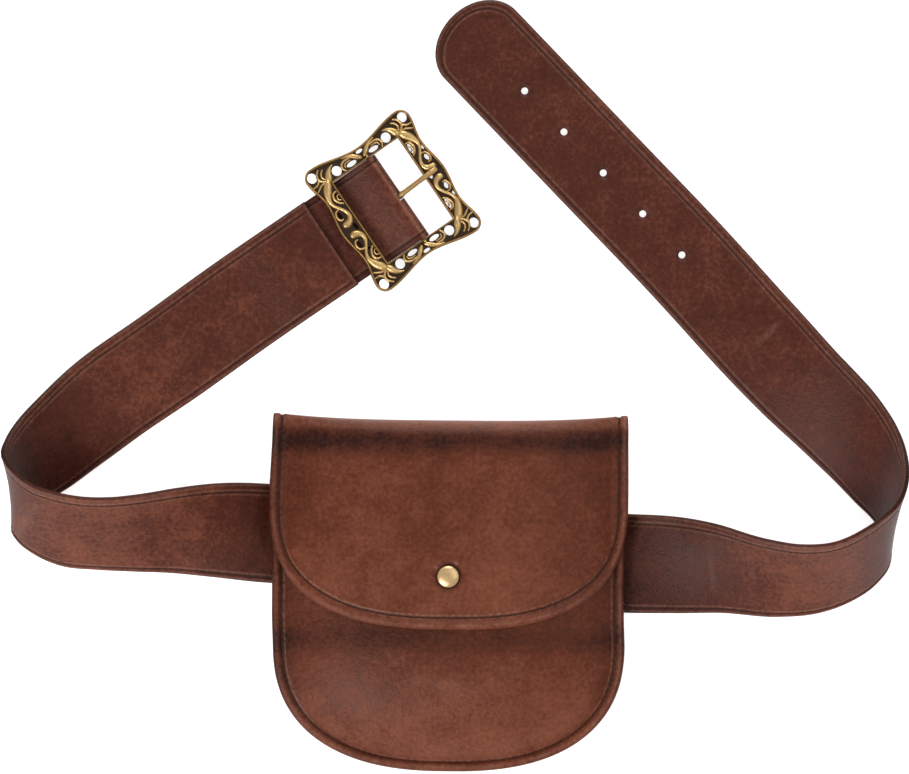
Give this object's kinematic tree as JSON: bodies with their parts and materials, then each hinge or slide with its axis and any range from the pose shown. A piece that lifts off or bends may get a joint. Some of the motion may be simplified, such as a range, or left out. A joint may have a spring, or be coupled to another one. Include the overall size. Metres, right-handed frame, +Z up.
{
  "type": "belt pouch",
  "caption": "Leather flap pouch with a snap stud, worn on a wide leather belt that has a pierced brass buckle with scrollwork.",
  "frame": {"origin": "on the surface that the part lies on, under the middle of its bounding box", "axes": "+X to the right as the picture shows it, +Y from the pouch towards the belt's two ends, +Z up from the surface"},
  "size_m": [0.4534, 0.3856, 0.0448],
  "materials": {
    "belt_leather": "semi-gloss",
    "pouch_leather": "semi-gloss",
    "stud_brass": "polished",
    "buckle_brass": "antique"
  },
  "bodies": {
    "leather": {"belt_strap": "belt_leather", "belt_loop": "belt_leather", "buckle_tab_upper": "belt_leather", "buckle_tab_lower": "belt_leather", "buckle_tab_fold_left": "belt_leather", "buckle_tab_fold_right": "belt_leather", "pouch_front": "pouch_leather", "pouch_back_and_flap": "pouch_leather", "snap_stud": "stud_brass"},
    "frame": {"buckle_frame": "buckle_brass"},
    "prong": {"buckle_prong": "buckle_brass"}
  },
  "joints": [
    {"name": "frame_hinge", "type": "hinge", "parent": "leather", "child": "frame", "pos_m": [-0.02962, 0.09343, 0.00365], "axis": [-0.5648, 0.8252, 0], "range_deg": [0, 140]},
    {"name": "prong_hinge", "type": "hinge", "parent": "frame", "child": "prong", "pos_m": [-0.02962, 0.09343, 0.00365], "axis": [0.5648, -0.8252, 0], "range_deg": [0, 30]}
  ]
}
